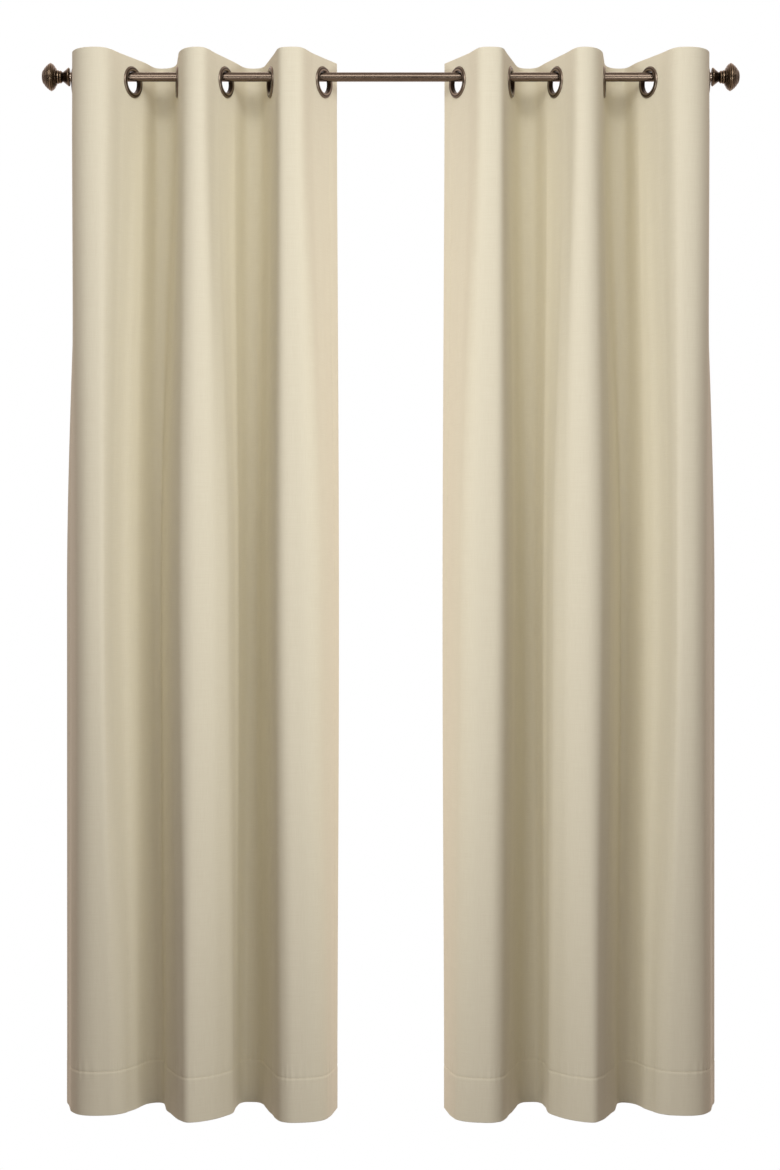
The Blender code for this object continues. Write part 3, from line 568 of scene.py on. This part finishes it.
def turned(name, outline, centre, axis, steps, material, closed=False, sharp=40, knurls=0):
    """A turned piece: the outline's radius runs round the axis and its height along it.

    The point at a turn is the centre, plus height times the axis, plus radius times the cosine of
    the turn along one cross direction and its sine along the other. Knurls add a small cosine wave
    round the axis. A point attribute says how far each point stands out; the bronze materials turn it into
    lighter wear on raised rings and painted shade in sunk grooves.
    """
    outline = np.asarray(outline, float)
    axis = np.asarray(axis, float) / np.linalg.norm(axis)
    up = (0.0, 0.0, 1.0) if abs(axis[2]) < 0.9 else (1.0, 0.0, 0.0)
    across = np.cross(up, axis)
    across /= np.linalg.norm(across)
    up = np.cross(axis, across)
    angle = np.arange(steps) * 2 * math.pi / steps
    spoke = np.cos(angle)[:, None] * across + np.sin(angle)[:, None] * up
    wave = 1 + KNURL_DEPTH * np.cos(knurls * angle) * (knurls > 0)
    points = (np.asarray(centre) + outline[:, 1][:, None, None] * axis
              + outline[:, 0][:, None, None] * wave[:, None] * spoke[None])
    quads = grid_faces(len(outline), steps, wrap_rows=closed, wrap_columns=True)
    points = points.reshape(-1, 3)
    at_pole = np.repeat(outline[:, 0] < TOUCHING, steps)
    home = np.arange(len(points))
    home[at_pole] = (home[at_pole] // steps) * steps
    quads = home[quads]
    same = [quads[:, k] == quads[:, (k + 1) % 4] for k in range(4)]
    four = ~np.any(same, axis=0)
    triangles = np.concatenate([np.delete(quads[same[k]], k, axis=1) for k in range(4)])
    used, flat = np.unique(np.concatenate([quads[four].ravel(), triangles.ravel()]), return_inverse=True)
    split = four.sum() * 4
    piece = make_piece(name, points[used], [flat[:split].reshape(-1, 4), flat[split:].reshape(-1, 3)],
                       [material], sharp=sharp)
    # painted shade: this attribute darkens the grooves and lightens the raised rings, partly as wear and
    # partly as shade
    rubbed = piece.data.attributes.new("rubbed", "FLOAT", "POINT")
    rubbed.data.foreach_set("value", np.repeat(ridges(outline, closed), steps)[used].astype(np.float32))
    return piece


# ---- look of each material ----

def new_material(name):
    """An empty Principled material and its node tree."""
    material = bpy.data.materials.new(name)
    material.use_nodes = True
    return material, material.node_tree


def add(tree, kind, settings=None, links=None):
    """Add a node: settings are its properties and socket values, links its inputs' sources."""
    node = tree.nodes.new("ShaderNode" + kind)
    for key, value in (settings or {}).items():
        if isinstance(key, str) and hasattr(node, key) and not key[0].isupper():
            setattr(node, key, value)
        else:
            node.inputs[key].default_value = value
    for key, source in (links or {}).items():
        tree.links.new(source, node.inputs[key])
    return node


def ramp_colours(node, stops):
    """Set a colour ramp's stops from (place, hex colour) pairs."""
    elements = node.color_ramp.elements
    while len(elements) < len(stops):
        elements.new(0.5)
    for element, (place, code) in zip(elements, stops):
        element.position = place
        element.color = srgb(code)


def cloth_material(name, light, dark, thread, sheen):
    """Plain-woven cotton and polyester: matt, with a faint bloom and slightly uneven yarns.

    The yarns are about 0.3 mm; they are drawn at 1.1 mm so that a close view shows them. Slubs are
    thick places in single yarns, some centimetres long.
    """
    material, tree = new_material(name)
    shader = tree.nodes["Principled BSDF"]
    place = add(tree, "UVMap", {"uv_map": "cloth_metres"}).outputs[0]
    yarn = 0.0011
    yarns = {"Scale": math.pi / 10 / yarn, "Distortion": 0.6, "Detail": 1.0, "Detail Scale": 0.4}
    warp = add(tree, "TexWave", {"bands_direction": "X", **yarns}, {"Vector": place}).outputs[1]
    weft = add(tree, "TexWave", {"bands_direction": "Y", **yarns}, {"Vector": place}).outputs[1]
    weave = add(tree, "Math", {"operation": "MULTIPLY"}, {0: warp, 1: weft}).outputs[0]
    upright = add(tree, "Mapping", {"Scale": (900, 28, 1)}, {"Vector": place}).outputs[0]
    level = add(tree, "Mapping", {"Scale": (28, 900, 1)}, {"Vector": place}).outputs[0]
    warp_slub = add(tree, "TexNoise", {"Scale": 1.0, "Detail": 2.0}, {"Vector": upright}).outputs[0]
    weft_slub = add(tree, "TexNoise", {"Scale": 1.0, "Detail": 2.0}, {"Vector": level}).outputs[0]
    slub = add(tree, "Math", {"operation": "ADD"}, {0: warp_slub, 1: weft_slub}).outputs[0]
    halved = add(tree, "Math", {"operation": "MULTIPLY", 1: 0.5}, {0: slub}).outputs[0]
    colour = add(tree, "ValToRGB", {}, {"Fac": halved})
    ramp_colours(colour, [(0.34, dark), (0.66, light)])
    gaps = add(tree, "Math", {"operation": "MULTIPLY", 1: 0.07}, {0: weave}).outputs[0]
    shaded = add(tree, "MixRGB", {"blend_type": "MULTIPLY", "Color2": srgb(thread)},
                 {"Fac": gaps, "Color1": colour.outputs[0]})
    tree.links.new(shaded.outputs[0], shader.inputs["Base Color"])
    fine = add(tree, "Bump", {"Strength": 0.35, "Distance": 0.00010}, {"Height": weave}).outputs[0]
    uneven = add(tree, "Bump", {"Strength": 0.20, "Distance": 0.00030}, {"Height": slub, "Normal": fine})
    tree.links.new(uneven.outputs[0], shader.inputs["Normal"])
    shader.inputs["Roughness"].default_value = 0.88
    shader.inputs["Specular IOR Level"].default_value = 0.25
    shader.inputs["Sheen Weight"].default_value = sheen
    shader.inputs["Sheen Roughness"].default_value = 0.45
    return material


def thread_material():
    """Polyester sewing thread: two fine plies with a slight gloss."""
    material, tree = new_material("sewing_thread")
    shader = tree.nodes["Principled BSDF"]
    place = add(tree, "UVMap", {"uv_map": "cloth_metres"}).outputs[0]
    ply = 0.0006
    twist = add(tree, "TexWave", {"bands_direction": "DIAGONAL", "Scale": math.pi / 10 / ply},
                {"Vector": place})
    colour = add(tree, "ValToRGB", {}, {"Fac": twist.outputs[1]})
    ramp_colours(colour, [(0.0, "cfc6a4"), (1.0, "e4dcbf")])
    tree.links.new(colour.outputs[0], shader.inputs["Base Color"])
    raised = add(tree, "Bump", {"Strength": 0.4, "Distance": 0.0001}, {"Height": twist.outputs[1]})
    tree.links.new(raised.outputs[0], shader.inputs["Normal"])
    shader.inputs["Roughness"].default_value = 0.55
    return material


def bronze_material(name, low, middle, high, roughness, grain):
    """Oil-rubbed bronze lacquer: brown, with fine lines of drawing or turning, and painted shade in the
    grooves.

    Raised rings are lighter and sunk grooves darker, from the turned piece's ridge attribute: partly wear
    where hands and cloth rub it, partly painted shade. The lines' density along each axis is grain, in lines
    for each metre.
    """
    material, tree = new_material(name)
    shader = tree.nodes["Principled BSDF"]
    place = add(tree, "TexCoord").outputs["Object"]
    stretched = add(tree, "Mapping", {"Scale": grain}, {"Vector": place}).outputs[0]
    lines = add(tree, "TexNoise", {"Scale": 1.0, "Detail": 2.0, "Roughness": 0.6},
                {"Vector": stretched}).outputs[0]
    cloud = add(tree, "TexNoise", {"Scale": 90.0, "Detail": 4.0, "Roughness": 0.6},
                {"Vector": place}).outputs[0]
    # painted shade: the ridge attribute darkens sunk grooves and lightens raised rings, partly as wear and
    # partly as shade
    rubbed = add(tree, "Attribute", {"attribute_name": "rubbed"}).outputs["Fac"]
    worn_and_shaded = add(tree, "Math", {"operation": "MULTIPLY", 1: 0.6}, {0: rubbed}).outputs[0]
    tone = add(tree, "Math", {"operation": "MULTIPLY_ADD", 1: 0.12}, {0: lines, 2: worn_and_shaded}).outputs[0]
    tone = add(tree, "Math", {"operation": "MULTIPLY_ADD", 1: 0.12}, {0: cloud, 2: tone}).outputs[0]
    colour = add(tree, "ValToRGB", {}, {"Fac": tone})
    ramp_colours(colour, [(0.16, low), (0.42, middle), (0.72, high)])
    tree.links.new(colour.outputs[0], shader.inputs["Base Color"])
    rough = add(tree, "MapRange", {"From Min": 0.3, "From Max": 0.7, "To Min": roughness - 0.03,
                                   "To Max": roughness + 0.04}, {"Value": cloud}).outputs[0]
    tree.links.new(rough, shader.inputs["Roughness"])
    drawn = add(tree, "Bump", {"Strength": 0.05, "Distance": 0.00003}, {"Height": lines})
    tree.links.new(drawn.outputs[0], shader.inputs["Normal"])
    shader.inputs["Metallic"].default_value = 0.9
    return material


def steel_material():
    """Zinc-plated steel: pale grey with a faint crystalline mottling."""
    material, tree = new_material("zinc_plated_steel")
    shader = tree.nodes["Principled BSDF"]
    place = add(tree, "TexCoord").outputs["Object"]
    spangle = add(tree, "TexVoronoi", {"Scale": 900.0}, {"Vector": place}).outputs[0]
    colour = add(tree, "ValToRGB", {}, {"Fac": spangle})
    ramp_colours(colour, [(0.0, "a9aba8"), (1.0, "8d8f8d")])
    tree.links.new(colour.outputs[0], shader.inputs["Base Color"])
    shader.inputs["Metallic"].default_value = 1.0
    shader.inputs["Roughness"].default_value = 0.38
    return material


FACE_CLOTH = cloth_material("cream_plain_weave", "e2dcc6", "ddd6bf", "c4bba0", 0.10)
LINING_CLOTH = cloth_material("ivory_sateen_lining", "ebe6d8", "e0dac9", "cfc7b2", 0.06)
THREAD = thread_material()
# each bronze's low colour mostly goes to sunk grooves as painted shade, and its high colour to raised,
# rubbed rings
TUBE_BRONZE = bronze_material("drawn_bronze_tube", "51453a", "685b4f", "84766a", 0.25, (15, 1500, 1500))
KNOB_BRONZE = bronze_material("turned_bronze_knob", "1c130b", "43362a", "84725e", 0.25, (1800, 60, 60))
EYELET_BRONZE = bronze_material("antique_bronze_eyelet", "30261c", "63564a", "938576", 0.32, (500, 500, 500))
BRACKET_BRONZE = bronze_material("cast_bronze_bracket", "4d4033", "63554a", "857768", 0.38, (400, 400, 400))
STEEL = steel_material()

CLOTHS = [FACE_CLOTH, LINING_CLOTH, THREAD]
for side_name, side_sign in SIDES:
    build_curtain(side_name, side_sign, CLOTHS)


# ---- eyelets ----

RING_RADIUS = 0.0273
BARREL = 0.0194                # outer radius of the barrel that passes through the cloth
RING_FACE = CLOTH_THICKNESS / 2
CROWN = 0.0043                 # height of the rim's top over the cloth's middle layer
MOUTH_ROUND = 0.0030
RIM_ROUND = 0.0032
LIP_ROUND = 0.0007
BARREL_CHAMFER = 0.0012
BARREL_END = -CROWN + 0.0008
WASHER_ROUND = 0.0013
WASHER_PLAY = 0.0003


def front_ring_outline():
    """Closed outline: barrel, flared mouth, a broad half-round rim and a thin turned-down edge."""
    mouth = arc(EYELET_THROAT + MOUTH_ROUND, CROWN - MOUTH_ROUND, MOUTH_ROUND, 180, 90, 8)
    crown = arc(RING_RADIUS - RIM_ROUND - 0.0004, CROWN - RIM_ROUND, RIM_ROUND, 90, 12, 9)
    lip = arc(RING_RADIUS - LIP_ROUND, RING_FACE + LIP_ROUND, LIP_ROUND, 40, -90, 4)
    inner = np.array([(BARREL + BARREL_CHAMFER, RING_FACE), (BARREL, RING_FACE - BARREL_CHAMFER),
                      (BARREL, BARREL_END), (EYELET_THROAT, BARREL_END)])
    return np.concatenate([mouth, crown, lip, inner])[::-1]


def back_ring_outline():
    """Closed outline of the washer that the barrel is rolled over: a flat collar with round edges."""
    bore = BARREL + WASHER_PLAY
    outer = arc(RING_RADIUS - 0.0014, -RING_FACE - WASHER_ROUND, WASHER_ROUND, 80, -90, 6)
    inner = arc(bore + WASHER_ROUND, -RING_FACE - 0.0021, WASHER_ROUND, -90, -180, 5)
    return np.concatenate([outer, inner, [(bore, -RING_FACE)]])[::-1]


def build_eyelets(side, sign):
    """Front and back rings of each eyelet, square to the cloth where it passes the rod."""
    for number in range(PLEATS):
        lean = math.radians(PLEAT_PLANS[0, number, 2])
        hand = 1 if number % 2 == 0 else -1
        facing = (sign * hand * math.cos(lean), -math.sin(lean), 0)
        centre = (sign * (OUTER_EYELET - EYELETS[number]), ROD_Y, EYELET_Z)
        for word, outline in (("front", front_ring_outline()), ("back", back_ring_outline())):
            ring = turned("%s_ring_%s_%d" % (side, word, number + 1), outline, centre, facing, 72,
                          EYELET_BRONZE, closed=True, sharp=50)
            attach(ring, "%s_pleat_%d" % (side, number + 1))
            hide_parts("%s_eyelet_%s_%d" % (side, word, number + 1))


for side_name, side_sign in SIDES:
    build_eyelets(side_name, side_sign)


# ---- rod and finials ----

def build_rod():
    """Drawn tube with softened ends."""
    wall, softened, plain, rings = 0.0012, 0.0004, 0.02, 24
    bore = ROD_RADIUS - wall
    outline = np.concatenate([
        [(bore, -ROD_END), (ROD_RADIUS - softened, -ROD_END), (ROD_RADIUS, -ROD_END + softened)],
        [(ROD_RADIUS, x) for x in np.linspace(-ROD_END + plain, ROD_END - plain, rings)],
        [(ROD_RADIUS, ROD_END - softened), (ROD_RADIUS - softened, ROD_END), (bore, ROD_END)]])
    rod = turned("curtain_rod", outline, (0, ROD_Y, 0), (1, 0, 0), 64, TUBE_BRONZE, closed=True)
    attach(rod, "rod_set")
    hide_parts("rod_tube")


def finial_outline(length):
    """Half outline of the knob from its seat to its tip, with a blind hole for the stud.

    Each band is a smooth curve through its own points, in mm: collar, two beads, shoulder, the
    widest band, three rings that step down a cone, and the domed cap.
    """
    bands = [
        [(10.0, 0), (13.6, 0.3), (15.6, 1.0), (16.1, 2.2)],
        [(16.1, 2.2), (15.2, 3.6), (13.0, 6.0), (10.6, 9.0), (8.9, 11.2), (8.1, 12.8)],
        [(8.1, 12.8), (9.9, 14.4), (11.0, 16.1), (10.6, 17.3), (9.7, 18.1)],
        [(9.7, 18.1), (11.2, 19.1), (11.7, 20.6), (11.4, 21.8), (10.7, 22.5)],
        [(10.7, 22.5), (13.2, 23.1), (15.4, 24.2), (15.6, 25.1)],
        [(15.6, 25.1), (18.8, 26.3), (21.5, 28.8), (22.7, 30.3), (22.0, 31.0)],
        [(22.0, 31.0), (23.5, 31.8), (24.0, 33.1), (23.4, 34.4), (22.1, 34.9)],
        [(22.1, 34.9), (22.6, 35.7), (21.7, 37.1), (20.4, 38.1), (19.3, 38.4)],
        [(19.3, 38.4), (19.9, 39.2), (18.7, 40.5), (17.2, 41.6), (16.0, 41.9)],
        [(16.0, 41.9), (16.4, 42.7), (15.0, 43.7), (13.5, 44.3), (12.4, 44.5)],
        [(12.4, 44.5), (12.7, 45.0), (11.6, 46.3), (9.0, 47.6), (5.0, 48.5), (0, length / MM)]]
    curves = [eased_outline(band, 4)[:-1] for band in bands] + [np.array([bands[-1][-1]])]
    stud_hole = np.array([(0, 14.6), (3.3, 14.6), (3.3, 0)])
    return MM * np.concatenate([stud_hole] + curves)


def build_finial(side, sign):
    """Turned and lacquered knob on the rod's end."""
    low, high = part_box("finial_" + side)
    seat = low.x if sign > 0 else high.x
    knob = turned("knob_" + side, finial_outline(high.x - low.x), (seat, ROD_Y, 0), (sign, 0, 0), 72,
                  KNOB_BRONZE, sharp=30)
    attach(knob, "rod_set")
    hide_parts("finial_" + side)


def build_clamp_screw(side, sign):
    """Thumb screw under the rod, with a knurled head."""
    low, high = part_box("rod_clamp_screw_" + side)
    head = (high.x - low.x) / 2
    shank, head_height, round_off = 0.0020, 0.0050, 0.0012
    head_top = low.z + head_height
    outline = [(0, low.z), (head - round_off, low.z), (head - round_off / 4, low.z + round_off / 2),
               (head, low.z + round_off), (head, head_top - round_off),
               (head - round_off / 4, head_top - round_off / 2), (head - round_off, head_top),
               (shank, head_top), (shank, high.z), (0, high.z)]
    screw = turned("clamp_screw_" + side, outline, ((low.x + high.x) / 2, ROD_Y, 0), (0, 0, 1), 144,
                   BRACKET_BRONZE, sharp=30, knurls=24)
    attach(screw, "rod_set")
    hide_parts("rod_clamp_screw_" + side)


def build_casting(node_name):
    """A bracket piece with its edges eased: the solid's own shape, welded, with a small bevel."""
    flat_angle, edge_angle, easing = math.radians(1), math.radians(35), 0.0004
    source = frame["nodes"][node_name]
    casting = bpy.data.objects.new(node_name + "_eased", source.data.copy())
    bpy.context.scene.collection.objects.link(casting)
    welded = bmesh.new()
    welded.from_mesh(casting.data)
    bmesh.ops.remove_doubles(welded, verts=welded.verts, dist=TOUCHING)
    bmesh.ops.dissolve_limit(welded, angle_limit=flat_angle, verts=welded.verts, edges=welded.edges)
    welded.to_mesh(casting.data)
    welded.free()
    casting.data.materials.clear()
    casting.data.materials.append(BRACKET_BRONZE)
    casting.data.shade_smooth()
    casting.data.set_sharp_from_angle(angle=edge_angle)
    eased = casting.modifiers.new("eased_edges", "BEVEL")
    eased.width = easing
    eased.segments = 2
    eased.limit_method = "ANGLE"
    eased.angle_limit = edge_angle
    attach(casting, "rod_set")
    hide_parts(node_name)


build_rod()
for side_name, side_sign in SIDES:
    build_finial(side_name, side_sign)
    build_clamp_screw(side_name, side_sign)
    for stem in ("wall_plate_%s", "bracket_arm_%s", "wall_screw_%s_upper", "wall_screw_%s_lower"):
        build_casting(stem % side_name)
for node_name, node in frame["nodes"].items():
    if node_name.startswith(("rod_end_plug", "finial_stud", "bracket_arm_screw")):
        node.data.materials.clear()
        node.data.materials.append(STEEL)


# ---- floor, light and camera ----

def build_stage():
    """Pale floor that ends just behind the curtains, a bright surround and three soft lamps in front.

    The surround is plain white to the eye; as a light it is brighter overhead and behind. One lamp
    hangs overhead, and one lights each curtain from across the window, and only that curtain.
    """
    reach, floor_z, floor_back = 3.0, -2.05, 0.38
    plane = bpy.data.meshes.new("floor")
    plane.from_pydata([(-reach, -reach, floor_z), (reach, -reach, floor_z), (reach, floor_back, floor_z),
                       (-reach, floor_back, floor_z)], [], [(0, 1, 2, 3)])
    floor = bpy.data.objects.new("floor", plane)
    bpy.context.scene.collection.objects.link(floor)
    floor.visible_diffuse = False
    material, tree = new_material("pale_floor")
    tree.nodes["Principled BSDF"].inputs["Base Color"].default_value = srgb("f2eee8")
    tree.nodes["Principled BSDF"].inputs["Roughness"].default_value = 0.9
    plane.materials.append(material)

    world = bpy.data.worlds.new("studio")
    bpy.context.scene.world = world
    world.use_nodes = True
    tree = world.node_tree
    seen = tree.nodes["Background"]
    seen.inputs["Color"].default_value = (1.0, 1.0, 1.0, 1.0)
    heading = add(tree, "SeparateXYZ", {}, {0: add(tree, "TexCoord").outputs["Generated"]})
    above = add(tree, "MapRange", {"From Min": -0.3, "From Max": 0.9, "To Min": 0.05, "To Max": 0.56},
                {"Value": heading.outputs[2]}).outputs[0]
    behind = add(tree, "MapRange", {"From Min": 0.0, "From Max": 0.5, "To Min": 0.0, "To Max": 0.95},
                 {"Value": heading.outputs[1]}).outputs[0]
    strength = add(tree, "Math", {"operation": "ADD"}, {0: above, 1: behind}).outputs[0]
    cast = add(tree, "Background", {"Color": srgb("fbe8df")}, {"Strength": strength})
    path = add(tree, "LightPath").outputs["Is Camera Ray"]
    both = add(tree, "MixShader", {}, {0: path, 1: cast.outputs[0], 2: seen.outputs[0]})
    tree.links.new(both.outputs[0], tree.nodes["World Output"].inputs["Surface"])

    add_lamp("overhead_box", (0.0, -1.7, 0.7), (0.0, -0.1, -0.3), (2.4, 0.9), 14.0)
    for side, sign in SIDES:
        lamp = add_lamp("soft_box_" + side, (-sign * 0.85, -2.0, -0.90), (sign * 0.4, -0.1, -0.95),
                        (0.9, 0.9), 10.7)
        lit = bpy.data.collections.new("lit_from_across_" + side)
        for piece in bpy.context.scene.objects:
            if piece.type == "MESH" and (side in piece.name or piece.name == "curtain_rod"):
                lit.objects.link(piece)
        lamp.light_linking.receiver_collection = lit


def add_lamp(name, place, target, size, power):
    """A rectangular soft lamp that faces its target."""
    lamp = bpy.data.lights.new(name, "AREA")
    lamp.shape = "RECTANGLE"
    lamp.size, lamp.size_y = size
    lamp.energy = power
    lamp.spread = math.radians(125)
    holder = bpy.data.objects.new(name, lamp)
    bpy.context.scene.collection.objects.link(holder)
    holder.location = place
    aim = mathutils.Vector(target) - mathutils.Vector(place)
    holder.rotation_euler = aim.to_track_quat("-Z", "Y").to_euler()
    return holder


def build_camera():
    """Level view from the middle of the window, at the height of the middle of the curtains."""
    camera = bpy.data.cameras.new("camera")
    camera.sensor_width = 36.0
    camera.lens = 63.75
    holder = bpy.data.objects.new("camera", camera)
    bpy.context.scene.collection.objects.link(holder)
    holder.location = (-0.0013, -3.70, -0.8826)
    holder.rotation_euler = (math.pi / 2, 0, 0)
    bpy.context.scene.camera = holder
    bpy.context.scene.view_settings.view_transform = "Standard"


build_stage()
build_camera()
